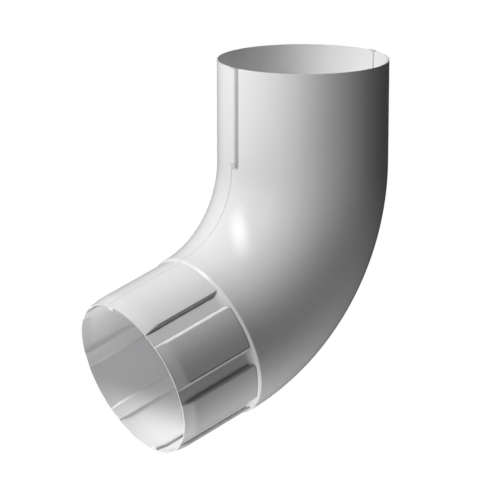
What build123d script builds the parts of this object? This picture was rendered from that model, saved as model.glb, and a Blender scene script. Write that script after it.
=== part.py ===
"""Round downspout elbow of 72 degrees, pressed as two half shells of painted steel sheet.

The origin is the centre of the socket's mouth, and +Z points out of that mouth along its axis.
The bend turns towards -X. Angles round the tube count from the throat, which is the inside of
the bend, towards the front half on the -Y side, so the heel is at 180 degrees.

The front half has hems and the rear half has hooks, and they lock in one seam along the throat
and one along the heel. The four layers of the seam lie inside the tube along the bend and the
spigot, and outside it along the socket, so that the bore of the socket is flush.
"""

import os
from math import cos, degrees, radians, sin, tan

from build123d import *

# Tube
sheet = 0.6
tube_radius = 50.0
socket_depth = 60.0
bend_radius = 100.0
bend_angle = 72.0

# Spigot, which slips into the next socket
spigot_length = 55.0
slip_clearance = 0.6
ring_lead = 0.8
ring_slope = 34.0
ring_foot_bevel = 2.5
rim_drop = 1.2
taper_length = 7.5

# Channels pressed into the spigot between its raised panels
channels_per_half = 3
channel_depth = 1.6
channel_width = 11.4
channel_wall_slope = 45.0
channel_edge_bevel = 0.6

# Lock seam, with widths measured round the tube
lap_gap = 0.05
hem_reach = 2.0
hook_reach = 3.0
fold_gap = 0.15
fold_bevel = 0.3

# Raised seam on the socket, closed by a slanted facet where the socket meets the bend
joggle_slope = 60.0
joggle_offset = 0.9
joggle_edge_bevel = 0.7
facet_length = 5.0
facet_sink = 0.4
facet_clearance = 0.2

# Radii and layers that follow
panel_radius = tube_radius - sheet - slip_clearance
rim_radius = panel_radius - rim_drop
floor_radius = panel_radius - channel_depth
layer_pitch = sheet + lap_gap
seam_depth = 3 * layer_pitch
fold_top_radius = tube_radius + seam_depth

# Distances that only have to reach past the tube, outwards and inwards
beyond = 10.0
deep = 12.0


def around(length):
    """Angle in degrees of a length measured round the outside of the tube."""
    return degrees(length / tube_radius)


# Angles of the throat seam
hem_angle = -around(hem_reach)
hook_angle = around(hook_reach)
sheet_angle = around(sheet)
gap_angle = around(lap_gap)
fold_gap_angle = around(fold_gap)


def section_plane(turn):
    """Plane across the tube after a turn of the bend, with its x direction away from the throat."""
    a = radians(turn)
    centre = (bend_radius * (cos(a) - 1), 0, -socket_depth - bend_radius * sin(a))
    return Plane(origin=centre, x_dir=(cos(a), 0, -sin(a)), z_dir=(sin(a), 0, cos(a)))


def polar(radius, angle):
    """Point of a section at an angle from the throat towards the front."""
    return (-radius * cos(radians(angle)), -radius * sin(radians(angle)))


def sector(outer, inner, start, end):
    """Part of a ring between two radii and two angles."""
    with BuildSketch() as face:
        with BuildLine():
            outside = CenterArc((0, 0), outer, 180 + start, end - start)
            inside = CenterArc((0, 0), inner, 180 + start, end - start)
            Line(outside @ 0, inside @ 0)
            Line(outside @ 1, inside @ 1)
        make_face()
    return face.sketch


def upright(section, low, high):
    """Solid of a section across the tube's axis, from the level low to the level high."""
    with BuildPart() as body:
        with BuildSketch(Plane.XY.offset(low)):
            add(section)
        extrude(amount=high - low)
    return body.part


def wedge(start, end, low, high):
    """Solid sector about the tube's axis, from the level low to the level high."""
    return upright(sector(tube_radius + beyond, sheet, start, end), low, high)


def meridian(inset):
    """Half section of the spigot inside its surface, at a depth below that surface.

    One face has the ring and the foot that it slopes down to, the other has the raised panels.
    """
    foot_radius = floor_radius - lap_gap
    foot_level = -ring_lead - (tube_radius - foot_radius) / tan(radians(ring_slope))
    taper_level = taper_length - spigot_length
    low = -spigot_length - beyond
    low_radius = rim_radius - rim_drop * beyond / taper_length
    with BuildSketch(Plane.XZ) as ring:
        with BuildLine():
            Polyline(
                (-deep, beyond),
                (tube_radius, beyond),
                (tube_radius, -ring_lead),
                (foot_radius, foot_level),
                (foot_radius, low),
                (-deep, low),
                close=True,
            )
        make_face()
        chamfer(ring.vertices().sort_by_distance((foot_radius, foot_level))[0], ring_foot_bevel)
        offset(amount=-inset, kind=Kind.INTERSECTION)
        Rectangle(tube_radius, spigot_length, align=(Align.MIN, Align.MAX), mode=Mode.INTERSECT)
    with BuildSketch(Plane.XZ) as panel:
        with BuildLine():
            Polyline(
                (-deep, beyond),
                (panel_radius, beyond),
                (panel_radius, taper_level),
                (low_radius, low),
                (-deep, low),
                close=True,
            )
        make_face()
        offset(amount=-inset, kind=Kind.INTERSECTION)
        Rectangle(tube_radius, spigot_length, align=(Align.MIN, Align.MAX), mode=Mode.INTERSECT)
    return ring.sketch, panel.sketch


def by_radius(section):
    """Corners of a section in groups, from the nearest the axis to the furthest."""
    return section.vertices().group_by(lambda corner: round(corner.center().length, 1))


def channelled_section(inset):
    """Section across the spigot's panels and channels, inside their surface by a depth."""
    slope = tan(radians(channel_wall_slope))
    floor_half = channel_width / 2 - channel_depth / slope
    over = beyond / 4
    flare_half = channel_width / 2 + over / slope
    with BuildSketch() as section:
        Circle(panel_radius)
        for side in (0, 180):
            for k in range(channels_per_half):
                angle = side + (k + 1) * 180 / (channels_per_half + 1)
                with Locations(Rotation(0, 0, angle)):
                    with Locations((-floor_radius, 0)):
                        Polygon(
                            (0, -floor_half),
                            (0, floor_half),
                            (-channel_depth - over, flare_half),
                            (-channel_depth - over, -flare_half),
                            align=None,
                            mode=Mode.SUBTRACT,
                        )
        chamfer(by_radius(section)[-1], channel_edge_bevel)
        offset(amount=-inset, kind=Kind.INTERSECTION)
    return section.sketch


def spigot_form(inset):
    """Solid inside the spigot's surface, at a depth below it, with the ring's top at level 0."""
    ring, panel = meridian(inset)
    with BuildPart() as form:
        with BuildSketch(Plane.XZ):
            add(panel)
        revolve()
        with BuildSketch():
            add(channelled_section(inset))
        extrude(amount=-spigot_length, mode=Mode.INTERSECT)
        with BuildSketch(Plane.XZ):
            add(ring)
        revolve()
    return form.part


def spigot_strip(top, depth, start, end):
    """Strip of the spigot's seam between two depths below the surface and two angles."""
    toward = Vector(*polar(1, start))
    with BuildPart() as strip:
        with BuildSketch(Plane(origin=(0, 0, 0), x_dir=toward, z_dir=toward.cross(Vector(0, 0, 1)))):
            for face in meridian(top):
                add(face)
            for face in meridian(depth):
                add(face, mode=Mode.SUBTRACT)
        revolve(revolution_arc=end - start)
    return strip.part


def spigot_wall(start, end):
    """Pressed wall of the spigot between two angles."""
    with BuildPart() as wall:
        add(spigot_form(0))
        add(spigot_form(sheet), mode=Mode.SUBTRACT)
        add(wedge(start, end, -spigot_length, 0), mode=Mode.INTERSECT)
    return wall.part


def hem_section(top):
    """Hem of a front flange at the throat, whose outer layer has its outside at a radius."""
    inner = top - 2 * layer_pitch
    with BuildSketch() as hem:
        add(sector(top, inner - sheet, hem_angle, hem_angle + sheet_angle))
        add(sector(inner, inner - sheet, hem_angle, hook_angle - sheet_angle - fold_gap_angle))
    return hem.sketch


def hook_section(top, start):
    """Hook of a rear flange at the throat, round a hem whose outside is at a radius.

    Its base runs from a start angle.
    """
    outer = top - layer_pitch
    base = top - seam_depth
    with BuildSketch() as hook:
        add(sector(base, base - sheet, start, hook_angle))
        add(sector(outer, base - sheet, hook_angle - sheet_angle, hook_angle))
        add(sector(outer, outer - sheet, hem_angle + sheet_angle + fold_gap_angle, hook_angle))
    return hook.sketch


def raised_form(inset):
    """Solid inside the outside of the socket's raised throat seam, at a depth below it."""
    start_angle = 2 * hem_angle
    top_angle = around(hook_reach + joggle_offset)
    facet_normal = (facet_length, 0, seam_depth + facet_sink)
    facet_top = (-fold_top_radius, 0, facet_length - socket_depth)
    with BuildPart() as form:
        with BuildSketch(Plane.XY.offset(-socket_depth)) as outline:
            with BuildLine():
                top = CenterArc((0, 0), fold_top_radius, 180 + start_angle, top_angle - start_angle)
                joggle = PolarLine(top @ 1, beyond, 270 + top_angle + joggle_slope)
                Polyline(joggle @ 1, polar(tube_radius - deep, start_angle), top @ 0)
            make_face()
            chamfer(outline.vertices().sort_by_distance(top @ 1)[0], joggle_edge_bevel)
            offset(amount=-inset, kind=Kind.INTERSECTION)
        extrude(amount=socket_depth)
        split(bisect_by=Plane(origin=facet_top, z_dir=facet_normal).offset(inset), keep=Keep.TOP)
    return form.part


def socket_form(inset):
    """Solid inside the outside of the socket with its raised seams, at a depth below it."""
    with BuildPart() as form:
        with BuildSketch(Plane.XY.offset(-socket_depth)):
            Circle(tube_radius - inset)
        extrude(amount=socket_depth)
        raised = raised_form(inset)
        add(raised)
        add(raised.mirror(Plane.YZ))
    return form.part


def seam_edges(wall, angle):
    """Edges along the outside of a spigot's wall, in the plane through its axis at an angle."""
    toward = Vector(*polar(1, angle))
    cut = Plane(origin=(0, 0, 0), x_dir=toward, z_dir=toward.cross(Vector(0, 0, 1)))

    def along_outside(edge):
        ends = (edge @ 0, edge @ 1)
        in_plane = all(cut.contains(end) for end in ends)
        nearest = min(toward.dot(end) for end in ends)
        return in_plane and nearest > rim_radius - lap_gap and edge.center().Z < -sheet / 2

    return wall.edges().filter_by(along_outside)


def both_seams(throat_section):
    """Section of a throat seam together with its mirror image at the heel."""
    with BuildSketch() as pair:
        add(throat_section)
        add(throat_section.mirror(Plane.YZ))
    return pair.sketch


bend_axis = Axis((-bend_radius, 0, -socket_depth), (0, 1, 0))
fold_bottom = facet_length + facet_clearance - socket_depth
spigot_place = section_plane(bend_angle).location

# Front half, with a hem along each seam
hem_depth = 2 * layer_pitch
hem_end = hook_angle - sheet_angle - fold_gap_angle

with BuildPart() as front_spigot:
    add(spigot_wall(hem_angle, 180 - hem_angle))
    edge = spigot_strip(0, hem_depth + sheet, hem_angle, hem_angle + sheet_angle)
    turned = spigot_strip(hem_depth, hem_depth + sheet, hem_angle, hem_end)
    for strip in (edge, turned):
        add(strip)
        add(strip.mirror(Plane.YZ))
    for angle in (hem_angle, 180 - hem_angle):
        chamfer(seam_edges(front_spigot, angle), fold_bevel)

with BuildPart() as front_socket:
    add(socket_form(0))
    add(socket_form(sheet), mode=Mode.SUBTRACT)
    add(wedge(hem_angle, 180 - hem_angle, -socket_depth, 0), mode=Mode.INTERSECT)
    add(upright(both_seams(hem_section(fold_top_radius)), fold_bottom, 0))

with BuildPart() as front_half_shell:
    with BuildSketch(section_plane(0)) as front_section:
        add(sector(tube_radius, tube_radius - sheet, hem_angle, 180 - hem_angle))
        add(both_seams(hem_section(tube_radius)))
        chamfer(by_radius(front_section)[-1], fold_bevel)
    revolve(axis=bend_axis, revolution_arc=bend_angle)
    add(front_spigot.part.moved(spigot_place))
    add(front_socket.part)

# Rear half, with a hook along each seam
skin_start = 180 - hem_angle + gap_angle
skin_end = 360 + hem_angle - gap_angle
step_start = hem_angle - gap_angle - sheet_angle
step_end = hem_angle - gap_angle
return_start = hem_angle + sheet_angle + fold_gap_angle

with BuildPart() as rear_spigot:
    add(spigot_wall(skin_start, skin_end))
    step = spigot_strip(0, seam_depth + sheet, step_start, step_end)
    base = spigot_strip(seam_depth, seam_depth + sheet, step_start, hook_angle)
    tip = spigot_strip(layer_pitch, seam_depth + sheet, hook_angle - sheet_angle, hook_angle)
    turned = spigot_strip(layer_pitch, layer_pitch + sheet, return_start, hook_angle)
    for strip in (step, base, tip, turned):
        add(strip)
        add(strip.mirror(Plane.YZ))
    for angle in (skin_start, skin_end):
        chamfer(seam_edges(rear_spigot, angle), fold_bevel)

with BuildSketch() as rear_skin:
    add(sector(tube_radius, tube_radius - sheet, skin_start, skin_end))

with BuildPart() as rear_half_shell:
    with BuildSketch(section_plane(0)) as rear_section:
        add(rear_skin.sketch)
        add(both_seams(sector(tube_radius, tube_radius - seam_depth - sheet, step_start, step_end)))
        add(both_seams(hook_section(tube_radius, step_start)))
        chamfer(by_radius(rear_section)[-1], fold_bevel)
    revolve(axis=bend_axis, revolution_arc=bend_angle)
    add(rear_spigot.part.moved(spigot_place))
    add(upright(rear_skin.sketch, -socket_depth, 0))
    add(upright(both_seams(hook_section(fold_top_radius, step_end)), fold_bottom, 0))

front_half_shell.part.label = "front_half_shell"
rear_half_shell.part.label = "rear_half_shell"

os.makedirs("parts", exist_ok=True)
export_step(front_half_shell.part, "parts/front_half_shell.step")
export_step(rear_half_shell.part, "parts/rear_half_shell.step")
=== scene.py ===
import math
from collections import namedtuple

import bpy
import numpy as np
from mathutils import Matrix, Quaternion, Vector


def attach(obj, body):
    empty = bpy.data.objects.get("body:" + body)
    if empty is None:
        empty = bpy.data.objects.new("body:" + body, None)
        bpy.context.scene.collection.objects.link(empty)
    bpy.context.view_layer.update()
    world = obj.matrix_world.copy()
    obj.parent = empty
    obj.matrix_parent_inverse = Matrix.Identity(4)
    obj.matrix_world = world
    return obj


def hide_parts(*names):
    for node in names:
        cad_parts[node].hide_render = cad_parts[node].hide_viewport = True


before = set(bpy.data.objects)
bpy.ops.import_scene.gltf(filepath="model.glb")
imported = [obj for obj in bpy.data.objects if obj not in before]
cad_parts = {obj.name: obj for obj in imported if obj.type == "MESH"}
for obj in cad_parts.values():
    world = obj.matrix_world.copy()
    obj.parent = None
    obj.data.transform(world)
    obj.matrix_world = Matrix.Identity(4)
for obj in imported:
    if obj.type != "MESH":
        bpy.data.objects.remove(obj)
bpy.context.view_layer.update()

# Sizes are in millimetres, as the model has them. A distance s runs along the tube from the
# socket's mouth, and an arc runs round it at the tube's radius, from the throat over the front
# half to the heel and back over the rear half.
MM = 0.001

# Sheet, socket, bend and spigot, with the radii of their outsides
SHEET = 0.6
TUBE = 50.0
SOCKET = 60.0
BEND = 100.0
TURN = math.radians(72.0)
SPIGOT = 55.0
PANEL = 48.8
TAPER = 7.5
RIM_DROP = 1.2
TAPER_ROUND = 0.2

# Ring: the step from the bend down to the spigot's panels, and their corners beside it
RING_LEAD = 0.8
RING_SLOPE = math.tan(math.radians(34.0))
RING_ROUND = 0.25
FOOT_ROUND = 0.1
CORNER = 1.6

# Channels between the panels, with walls at 45 degrees, rounded most where they meet the ring
FLOOR = 47.2
CHANNEL_HALF = 5.7
CHANNEL_END_ROUND = 1.6
ROOT_ROUND = 0.15
EDGE_ROUND = 0.45

# Lock seams: the front half's hem starts before the throat, and the rear half's hook ends past it
GAP = 0.05
PITCH = SHEET + GAP
SEAM = 3 * PITCH
HEM = -2.0
HOOK = 3.0
FOLD_GAP = 0.15
FOLD_RADIUS = 0.4
# The hook rises a little less than the seam, so that its points keep apart from the skin's edge
HOOK_RISE = 0.99

# Joggle: the front skin's slope up to the raised seam, nearer to the throat on its inside
JOGGLE_TOP = 3.6
JOGGLE_SLOPE = math.tan(math.radians(64.0))
JOGGLE_TOP_ROUND = 2.4
JOGGLE_FOOT_ROUND = 0.3
JOGGLE_INSET = 0.35

# Facet that ends the raised seam, with heights from the socket's lower end
FACET_TOP = 5.0
FACET_END = 0.85
FACET_ROUND = 0.15
# Painted shade darkens the facet, fading in over a short length at its edges
FACET_TONE = 0.2
FACET_FADE = 0.5
# Spots of painted shade on the facet, for small notches that are not modelled: arc, height and
# strength
FACET_SHADE_SPOTS = ((3.4, 2.7, 0.8), (-1.1, 1.6, 0.45))
SHADE_SPOT_WIDTH = 0.6

# Fine pressed lines: shallow creases in the outside, with painted shade along them
CREASE_DEPTH = 0.18
CREASE_WIDTH = 0.24
# The crease at the foot of the throat's panel is weaker than the others
THROAT_FOOT = 0.15
# The creases fade towards the rim, and those at the channels' roots also start past the ring
LINE_FADE = 3.0
ROOT_LINE_START = 2.2
ROOT_LINE_RISE = 2.0
ROOT_LINE_END = 1.5

# Lines of painted shade alone, with no crease, along the seams' gaps; and a darker tone on the
# spigot's cut rim
SEAM_LINE_BREADTH = 1.4
HEM_TONE = 0.25
HEM_LINE_FADE = 1.0
HOOK_TONE = 0.55
HOOK_LINE_FADE = 4.0
HOOK_LINE_DEPTH = 0.9 * SHEET
CUT_TONE = 0.28

# Rows of points along the tube: steps in each stretch, and leads, margins and gaps between them
MOUTH_ROWS = (0, 0.4, 1.2)
SOCKET_STEP = 3.0
FACET_MARGIN = 1.0
FACET_STEP = 0.4
BEND_LEAD = 2.0
BEND_STEP = 2.2
RING_STRETCH = 7.0
RING_STEP = 0.18
PANEL_LEAD = 1.0
PANEL_STEP = 2.0
TAPER_MARGIN = 2.0
TAPER_ROWS = 22
ROW_GAP = 0.5

# Columns of points round the tube, with more of them on each side of a channel's or seam's middle
COLUMNS = 120
CHANNEL_COLUMNS = np.arange(3.6, 7.2, 0.16)
SEAM_COLUMNS = np.arange(0.6, 6.2, 0.25)
COLUMN_GAP = 0.1
STRIP_POINTS = 7
FOLD_POINTS = 5

# Edges of the mesh that turn by more than this are shaded sharp
SHARP_ANGLE = math.radians(30.0)

# Worked out from the sizes above
HALF_ROUND = math.pi * TUBE
RING_AT = SOCKET + BEND * TURN
FLOOR_HALF = CHANNEL_HALF - (PANEL - FLOOR)
FOOT_AT = RING_LEAD + (TUBE - PANEL) / RING_SLOPE

# A channel's angle from the throat in degrees, how far its crease lies past the edge on the
# throat's side, and its root's crease: whether it is on the heel's side, place, breadth, strength.
# Each crease carries painted shade, and the root's only on the channel's shaded side
Channel = namedtuple("Channel", "angle edge_line root_by_heel root_line breadth strength")
CHANNELS = (
    Channel(45.3, 0.0, False, 0.0, 1.0, 1.0),
    # Broad soft painted shadow on the floor beside this channel's root, on the heel's side
    Channel(90.0, 0.75, True, 0.35, 4.0, 0.7),
    Channel(135.0, 0.4, True, 0.0, 1.0, 1.0),
)


def smooth_min(a, b, k):
    """The lesser of a and b, rounded over where they are within k of each other."""
    h = np.maximum(k - np.abs(a - b), 0)
    return np.minimum(a, b) - h * h / (4 * k)


def smooth_max(a, b, k):
    """The greater of a and b, rounded over where they are within k of each other."""
    return -smooth_min(-a, -b, k)


def fade(past, length):
    """Share that grows from 0 to 1 over a length."""
    return np.clip(past / length, 0, 1)


def crease_and_painted_shade(distance):
    """Share of a fine line's depth or painted shade at a distance from its middle."""
    return np.exp(-((distance / CREASE_WIDTH) ** 2))


def outside(s, arc):
    """Radius of the outside at a distance and arc, and its share of the pressed lines' depth and
    painted shade.
    """
    t = s - RING_AT
    angle = np.abs((np.degrees(arc / TUBE) + 180) % 360 - 180)
    ring = smooth_min(TUBE, TUBE - (t - RING_LEAD) * RING_SLOPE, RING_ROUND)
    taper = PANEL - (t - SPIGOT + TAPER) * RIM_DROP / TAPER
    form = smooth_min(PANEL, taper, TAPER_ROUND)
    corner = CORNER - np.sqrt(CORNER**2 - np.clip(CORNER + FOOT_AT - t, 0, CORNER) ** 2)
    edge, root = 0, 0
    for channel in CHANNELS:
        by_heel = angle > channel.angle
        across = np.radians(np.abs(angle - channel.angle)) * PANEL - corner
        wall = smooth_max(FLOOR, FLOOR + across - FLOOR_HALF, ROOT_ROUND)
        form = smooth_min(form, wall, EDGE_ROUND)
        # Crease and painted shade at each panel's edge on the throat's side, and at each root on
        # the shaded side
        on_edge = crease_and_painted_shade(across - CHANNEL_HALF - channel.edge_line)
        edge = np.maximum(edge, on_edge * ~by_heel)
        on_root = crease_and_painted_shade((across - FLOOR_HALF - channel.root_line) / channel.breadth)
        root = np.maximum(root, channel.strength * on_root * (by_heel == channel.root_by_heel))
    sunk = np.clip((PANEL - form) / (PANEL - FLOOR), 0, 1)
    # Crease and painted shade along the panels' foot at the ring
    foot = crease_and_painted_shade(t - FOOT_AT) * np.where(angle < CHANNELS[0].angle, THROAT_FOOT, 1)
    on_panel = fade(SPIGOT - TAPER - t, LINE_FADE) * (t > FOOT_AT - 2 * CREASE_WIDTH)
    on_floor = fade(SPIGOT - ROOT_LINE_END - t, LINE_FADE)
    on_floor = on_floor * fade(t - FOOT_AT - ROOT_LINE_START, ROOT_LINE_RISE)
    creases_and_shade = np.maximum(foot * (1 - sunk), edge) * on_panel + root * on_floor
    return smooth_max(ring, form, FOOT_ROUND + CHANNEL_END_ROUND * sunk), creases_and_shade


def facet_painted_shade(s, past):
    """Share of painted shade on the facet and its spots of painted shade, at arcs past a seam's
    middle.
    """
    up = SOCKET - s
    face = fade(up - FACET_END, FACET_FADE) * fade(FACET_TOP - up, FACET_FADE)
    face = face * (past > HEM) * (past < JOGGLE_TOP)
    spots = 0
    for spot_at, spot_up, strength in FACET_SHADE_SPOTS:
        away = ((past - spot_at) ** 2 + (up - spot_up) ** 2) / SHADE_SPOT_WIDTH**2
        spots = spots + strength * np.exp(-away)
    return FACET_TONE * face + spots


def seam_painted_shade(s, arc, depth):
    """Share of painted shade along the seams: at the hem's edge outside, at the hook's end inside,
    with the facet's painted shade.
    """
    around = (arc + HALF_ROUND / 2) % (2 * HALF_ROUND) - HALF_ROUND / 2
    past = np.minimum(around, HALF_ROUND - around)
    outer = crease_and_painted_shade((past - HEM + GAP / 2) / SEAM_LINE_BREADTH) * (depth < SHEET)
    outer = outer * fade(s - SOCKET, HEM_LINE_FADE)
    inner = crease_and_painted_shade((past - HOOK) / SEAM_LINE_BREADTH)
    inner = inner * (depth > HOOK_LINE_DEPTH) * (depth < 2 * PITCH)
    inner = inner * fade(s - SOCKET, HOOK_LINE_FADE)
    tone = np.maximum(HEM_TONE * outer, HOOK_TONE * inner)
    return tone + facet_painted_shade(s, past) * (depth < SHEET)


def seam_rise(s):
    """How far the seam stands out of the socket at a distance."""
    ramp = (SOCKET - FACET_END - s) * SEAM / (FACET_TOP - FACET_END)
    return smooth_max(smooth_min(ramp, SEAM, FACET_ROUND), 0.0, FACET_ROUND)


def joggle(arc):
    """Share of the seam's rise that the front skin's outside has at an arc."""
    line = (JOGGLE_TOP + SEAM / JOGGLE_SLOPE - arc) * JOGGLE_SLOPE
    return smooth_max(smooth_min(line, SEAM, JOGGLE_TOP_ROUND), 0.0, JOGGLE_FOOT_ROUND) / SEAM


def joggle_inside(arc):
    """The same for the front skin's inside."""
    return joggle(arc + JOGGLE_INSET)


def no_rise(arc):
    """The rear skin does not rise with the seam."""
    return 0 * arc


def full_rise(depth):
    """The hem rises with the seam at every depth."""
    return np.ones_like(depth)


def step_rise(depth):
    """The rear half's edge turns under the hem, and its rise grows with its depth."""
    return depth / SEAM


def place(s, arc, radius):
    """Points in metres at a distance, an arc and a radius."""
    turn = np.clip((s - SOCKET) / BEND, 0, TURN)
    past = np.maximum(s - RING_AT, 0)
    angle = arc / TUBE
    x = BEND * (np.cos(turn) - 1) - past * np.sin(turn)
    z = -np.minimum(s, SOCKET) - BEND * np.sin(turn) - past * np.cos(turn)
    out = radius * np.cos(angle)
    points = (x - out * np.cos(turn), -radius * np.sin(angle), z + out * np.sin(turn))
    return np.stack(np.broadcast_arrays(*points), -1) * MM


def rows_of(arcs, depth, rise):
    """Part of a section's outline: rows of arc, depth in the sheet and share of the seam's rise."""
    return np.stack(np.broadcast_arrays(arcs, depth, rise), 1)


def strip(start, end, depth, rise):
    """A straight part of an outline at one depth."""
    return rows_of(np.linspace(start, end, STRIP_POINTS), depth, rise)


def rounded(corner, side, rise):
    """The rounded outer corner of a fold, from its skin side to its edge side."""
    turn = np.linspace(0, math.pi / 2, FOLD_POINTS)
    depth = FOLD_RADIUS * (1 - np.cos(turn))
    return rows_of(corner + side * FOLD_RADIUS * (1 - np.sin(turn)), depth, rise(depth))


def fold_end(end, first, last, rise):
    """The rounded end of a fold of the hook, from one depth to another."""
    turn = np.linspace(0, math.pi / 2, FOLD_POINTS)
    arcs = end - FOLD_RADIUS * (1 - np.sin(turn))
    drop = FOLD_RADIUS * (1 - np.cos(turn))
    depth = np.concatenate([first + drop, (last - drop)[::-1]])
    return rows_of(np.concatenate([arcs, arcs[::-1]]), depth, rise)


def skin_columns(start, end):
    """Arcs across a skin, close together at the channels' walls and the seams."""
    marks = [np.arange(COLUMNS) * 2 * HALF_ROUND / COLUMNS]
    for channel in CHANNELS:
        for middle in (channel.angle, 360 - channel.angle):
            for side in (-1, 1):
                marks.append(math.radians(middle) * TUBE + side * CHANNEL_COLUMNS)
    for middle in (0, HALF_ROUND, 2 * HALF_ROUND):
        for side in (-1, 1):
            marks.append(middle + side * SEAM_COLUMNS)
    marks = np.concatenate(marks)
    marks = np.sort(np.concatenate([marks, marks - 2 * HALF_ROUND]))
    marks = marks[(marks > start + COLUMN_GAP) & (marks < end - COLUMN_GAP)]
    keep = np.concatenate([[True], np.diff(marks) > COLUMN_GAP])
    return np.concatenate([[start], marks[keep], [end]])


def skin(start, end, depth, share):
    """The outside or inside of a skin between two seams."""
    arcs = skin_columns(start, end)
    return rows_of(arcs, depth, np.maximum(share(arcs), share(HALF_ROUND - arcs)))


def mirrored(rows):
    """The same part of an outline at the heel instead of the throat, run the other way."""
    rows = rows[::-1].copy()
    rows[:, 0] = HALF_ROUND - rows[:, 0]
    return rows


def front_outline():
    """Closed outline of the front half's section, with a hem at each seam."""
    hem_end = HOOK - SHEET - FOLD_GAP
    outer = skin(HEM + FOLD_RADIUS, HALF_ROUND - HEM - FOLD_RADIUS, 0, joggle)
    inner = skin(HEM + SHEET, HALF_ROUND - HEM - SHEET, SHEET, joggle_inside)
    hem = np.concatenate(
        [
            strip(HEM + SHEET, hem_end, 2 * PITCH, 1),
            strip(hem_end, HEM, 2 * PITCH + SHEET, 1),
            rounded(HEM, 1, full_rise)[::-1],
        ]
    )
    return np.concatenate([hem[:-1], outer, mirrored(hem)[1:], inner[::-1]])


def rear_outline():
    """Closed outline of the rear half's section, with a hook at each seam."""
    edge = HEM - GAP
    turned = HEM + SHEET + FOLD_GAP
    first, last = HALF_ROUND - edge, 2 * HALF_ROUND + edge
    outer = skin(first + FOLD_RADIUS, last - FOLD_RADIUS, 0, no_rise)
    inner = skin(first + SHEET, last - SHEET, SHEET, no_rise)
    hook = np.concatenate(
        [
            rounded(edge, -1, step_rise),
            strip(edge, HOOK - SHEET, SEAM, HOOK_RISE),
            strip(HOOK - SHEET, turned, PITCH + SHEET, HOOK_RISE),
            strip(turned, HOOK - FOLD_RADIUS, PITCH, HOOK_RISE)[:-1],
            fold_end(HOOK, PITCH, SEAM + SHEET, HOOK_RISE),
            strip(HOOK - FOLD_RADIUS, edge - SHEET, SEAM + SHEET, HOOK_RISE)[1:],
        ]
    )
    throat_hook = hook + (2 * HALF_ROUND, 0, 0)
    return np.concatenate([outer[:-1], throat_hook, inner[::-1], mirrored(hook)[:-1]])


def stations():
    """Distances from the mouth, close together at the facet, the ring and the taper."""
    facet_at = SOCKET - FACET_TOP - FACET_MARGIN
    panel_at = RING_AT + RING_STRETCH + PANEL_LEAD
    taper_at = RING_AT + SPIGOT - TAPER - TAPER_MARGIN
    return np.concatenate(
        [
            MOUTH_ROWS,
            np.arange(SOCKET_STEP, facet_at, SOCKET_STEP),
            np.arange(facet_at, SOCKET + ROW_GAP, FACET_STEP),
            np.arange(SOCKET + BEND_LEAD, RING_AT - ROW_GAP, BEND_STEP),
            RING_AT + np.arange(0, RING_STRETCH, RING_STEP),
            np.arange(panel_at, taper_at - ROW_GAP, PANEL_STEP),
            np.linspace(taper_at, RING_AT + SPIGOT, TAPER_ROWS),
        ]
    )


def surface(outline):
    """Points of a half shell, row by row along the tube, and each point's share of painted shade,
    with the darker cut rim.
    """
    s = stations()[:, None]
    arc, depth, rise = outline.T[:, None, :]
    radius, creases_and_shade = outside(s, arc)
    creases_and_shade = creases_and_shade * (depth < SHEET / 2)
    radius = radius - depth - CREASE_DEPTH * creases_and_shade + rise * seam_rise(s)
    tone = np.maximum(creases_and_shade, seam_painted_shade(s, arc, depth))
    tone[-1] = np.maximum(tone[-1], CUT_TONE)
    return place(s, arc, radius), tone


def shell_faces(rows, columns):
    """Quads between the rows of points, and a face over each end."""
    index = np.arange(rows * columns).reshape(rows, columns)
    a, b = index[:-1], index[1:]
    quads = np.stack([a, b, np.roll(b, -1, 1), np.roll(a, -1, 1)], -1).reshape(-1, 4)
    return quads.tolist() + [index[0].tolist(), index[-1][::-1].tolist()]


def formed(name, outline, material):
    """A half shell as one closed mesh: its outline carried along the tube."""
    points, tone = surface(outline)
    mesh = bpy.data.meshes.new(name)
    mesh.from_pydata(points.reshape(-1, 3).tolist(), [], shell_faces(*points.shape[:2]))
    mesh.validate()
    mesh.shade_smooth()
    mesh.set_sharp_from_angle(angle=SHARP_ANGLE)
    mesh.materials.append(material)
    # Each point's share of painted shade, for the coating's material
    shade = mesh.attributes.new("crease_and_painted_shade", "FLOAT", "POINT")
    shade.data.foreach_set("value", tone.ravel().astype(np.float32))
    piece = bpy.data.objects.new(name, mesh)
    bpy.context.scene.collection.objects.link(piece)
    return piece


# Colours of the coating, which varies softly, and of the painted shade along its creases, seams and
# facet
COAT_DARKER = (0.83, 0.822, 0.83, 1)
COAT_LIGHTER = (0.86, 0.852, 0.86, 1)
PAINTED_SHADE_COLOUR = (0.3, 0.29, 0.3, 1)


def node(tree, kind, **values):
    """A new shader node with input values by socket name."""
    made = tree.nodes.new(kind)
    for socket, value in values.items():
        made.inputs[socket].default_value = value
    return made


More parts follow.
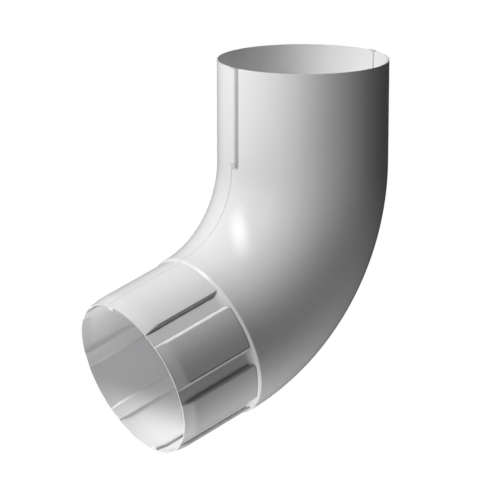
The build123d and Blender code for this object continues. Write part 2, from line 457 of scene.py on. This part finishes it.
def paint_material():
    """Light grey semi-gloss coating on sheet metal, with painted shade where the mesh says so."""
    material = bpy.data.materials.new("shell_coating")
    material.use_nodes = True
    tree = material.node_tree
    link = tree.links.new
    shader = tree.nodes["Principled BSDF"]
    shader.inputs["Roughness"].default_value = 0.19
    shader.inputs["Specular IOR Level"].default_value = 0.2
    position = tree.nodes.new("ShaderNodeTexCoord").outputs["Object"]

    cloud = node(tree, "ShaderNodeTexNoise", Scale=18.0, Detail=3.0, Roughness=0.5)
    link(position, cloud.inputs["Vector"])
    tone = tree.nodes.new("ShaderNodeValToRGB")
    darker, lighter = tone.color_ramp.elements
    darker.position, lighter.position = 0.3, 0.7
    darker.color, lighter.color = COAT_DARKER, COAT_LIGHTER
    link(cloud.outputs["Fac"], tone.inputs["Fac"])

    # Painted shade: the coating mixes towards dark grey by each point's share
    painted_shade_share = tree.nodes.new("ShaderNodeAttribute")
    painted_shade_share.attribute_name = "crease_and_painted_shade"
    with_painted_shade = tree.nodes.new("ShaderNodeMix")
    with_painted_shade.data_type = "RGBA"
    with_painted_shade.inputs["B"].default_value = PAINTED_SHADE_COLOUR
    link(painted_shade_share.outputs["Fac"], with_painted_shade.inputs["Factor"])
    link(tone.outputs["Color"], with_painted_shade.inputs["A"])
    link(with_painted_shade.outputs["Result"], shader.inputs["Base Color"])

    grain = node(tree, "ShaderNodeTexNoise", Scale=900.0, Detail=2.0, Roughness=0.5)
    link(position, grain.inputs["Vector"])
    bump = node(tree, "ShaderNodeBump", Strength=0.08, Distance=0.0002)
    link(grain.outputs["Fac"], bump.inputs["Height"])
    link(bump.outputs["Normal"], shader.inputs["Normal"])
    return material


paint = paint_material()
for name, outline in (("front_half", front_outline()), ("rear_half", rear_outline())):
    piece = formed(name + "_formed", outline, paint)
    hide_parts(name + "_shell")
    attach(piece, "root")


# The studio is in metres and degrees, and azimuths run from the front towards +X
FLOOR_LEVEL = -1.6
FLOOR_REACH = 4.0
ROOM_LIGHT = 0.02
BACKDROP_WHITE = 1.0

# Camera as fitted to the photograph, with its sensor in millimetres
AZIMUTH = -36.279
ELEVATION = 14.085
DISTANCE = 1.573784
TARGET = Vector((-0.038040, 0.000241, -0.108748))
SENSOR = 36.0
PICTURE_PIXELS = 500
FOCAL_PIXELS = 2706.106

# Lamps that face the part's centre, each turned about its own axis
CENTRE = Vector((-0.04, 0.0, -0.11))
LAMP_SPREAD = math.radians(70.0)
Lamp = namedtuple("Lamp", "name azimuth elevation turn distance width height power")
LAMPS = (
    Lamp("key", -108, 45, -40, 1.3, 0.4, 1.5, 4.1),
    Lamp("front_left", -70, 20, 0, 1.4, 0.8, 0.8, 0.35),
    Lamp("low_left", -80, -60, 0, 1.1, 0.9, 0.9, 2.4),
    Lamp("low_rear", -165, -45, 0, 1.2, 0.8, 0.8, 0.8),
    Lamp("under", -60, -80, 0, 1.0, 0.9, 0.9, 0.5),
    Lamp("rear_fill", 125, 35, 0, 1.4, 0.9, 0.9, 0.5),
)


def pale_floor():
    """A plain pale floor far below the part."""
    material = bpy.data.materials.new("floor_pale")
    material.use_nodes = True
    shader = material.node_tree.nodes["Principled BSDF"]
    shader.inputs["Base Color"].default_value = (0.9, 0.9, 0.9, 1)
    shader.inputs["Roughness"].default_value = 0.9
    shader.inputs["Specular IOR Level"].default_value = 0.1
    corners = [(x * FLOOR_REACH, y * FLOOR_REACH) for x, y in ((-1, -1), (1, -1), (1, 1), (-1, 1))]
    mesh = bpy.data.meshes.new("floor")
    mesh.from_pydata([(x, y, FLOOR_LEVEL) for x, y in corners], [], [(0, 1, 2, 3)])
    mesh.materials.append(material)
    floor = bpy.data.objects.new("floor", mesh)
    bpy.context.scene.collection.objects.link(floor)
    return floor


def studio_world():
    """White behind the part, and a dim even light elsewhere."""
    world = bpy.data.worlds.new("studio")
    world.use_nodes = True
    tree = world.node_tree
    background = tree.nodes["Background"]
    background.inputs["Color"].default_value = (1, 1, 1, 1)
    path = tree.nodes.new("ShaderNodeLightPath")
    strength = tree.nodes.new("ShaderNodeMix")
    strength.data_type = "FLOAT"
    strength.inputs["A"].default_value = ROOM_LIGHT
    strength.inputs["B"].default_value = BACKDROP_WHITE
    tree.links.new(path.outputs["Is Camera Ray"], strength.inputs["Factor"])
    tree.links.new(strength.outputs["Result"], background.inputs["Strength"])
    return world


def direction(azimuth, elevation):
    """Direction from the part towards a lamp or the camera."""
    a, e = math.radians(azimuth), math.radians(elevation)
    return Vector((math.sin(a) * math.cos(e), -math.cos(a) * math.cos(e), math.sin(e)))


def add_lamp(lamp):
    """A soft rectangular lamp that faces the part's centre."""
    back = direction(lamp.azimuth, lamp.elevation)
    light = bpy.data.lights.new(lamp.name, "AREA")
    light.shape = "RECTANGLE"
    light.size = lamp.width
    light.size_y = lamp.height
    light.spread = LAMP_SPREAD
    light.energy = lamp.power
    holder = bpy.data.objects.new(lamp.name, light)
    holder.location = CENTRE + back * lamp.distance
    holder.rotation_mode = "QUATERNION"
    turn = Quaternion((0, 0, 1), math.radians(lamp.turn))
    holder.rotation_quaternion = back.to_track_quat("Z", "Y") @ turn
    holder.visible_camera = False
    bpy.context.scene.collection.objects.link(holder)


def photograph_camera():
    """The camera at the photograph's angle."""
    back = direction(AZIMUTH, ELEVATION)
    across = math.radians(AZIMUTH)
    right = Vector((math.cos(across), math.sin(across), 0))
    turned = Matrix((right, back.cross(right), back)).transposed()
    camera = bpy.data.objects.new("camera", bpy.data.cameras.new("camera"))
    camera.data.sensor_width = SENSOR
    camera.data.lens = FOCAL_PIXELS / PICTURE_PIXELS * SENSOR
    camera.data.clip_start = 0.05
    camera.data.clip_end = 20.0
    camera.matrix_world = Matrix.Translation(TARGET + back * DISTANCE) @ turned.to_4x4()
    bpy.context.scene.collection.objects.link(camera)
    return camera


# The floor lights the part from below, and the camera does not see it
floor = pale_floor()
floor.visible_camera = False

bpy.context.scene.world = studio_world()
for lamp in LAMPS:
    add_lamp(lamp)
bpy.context.scene.camera = photograph_camera()
bpy.context.scene.view_settings.view_transform = "Standard"
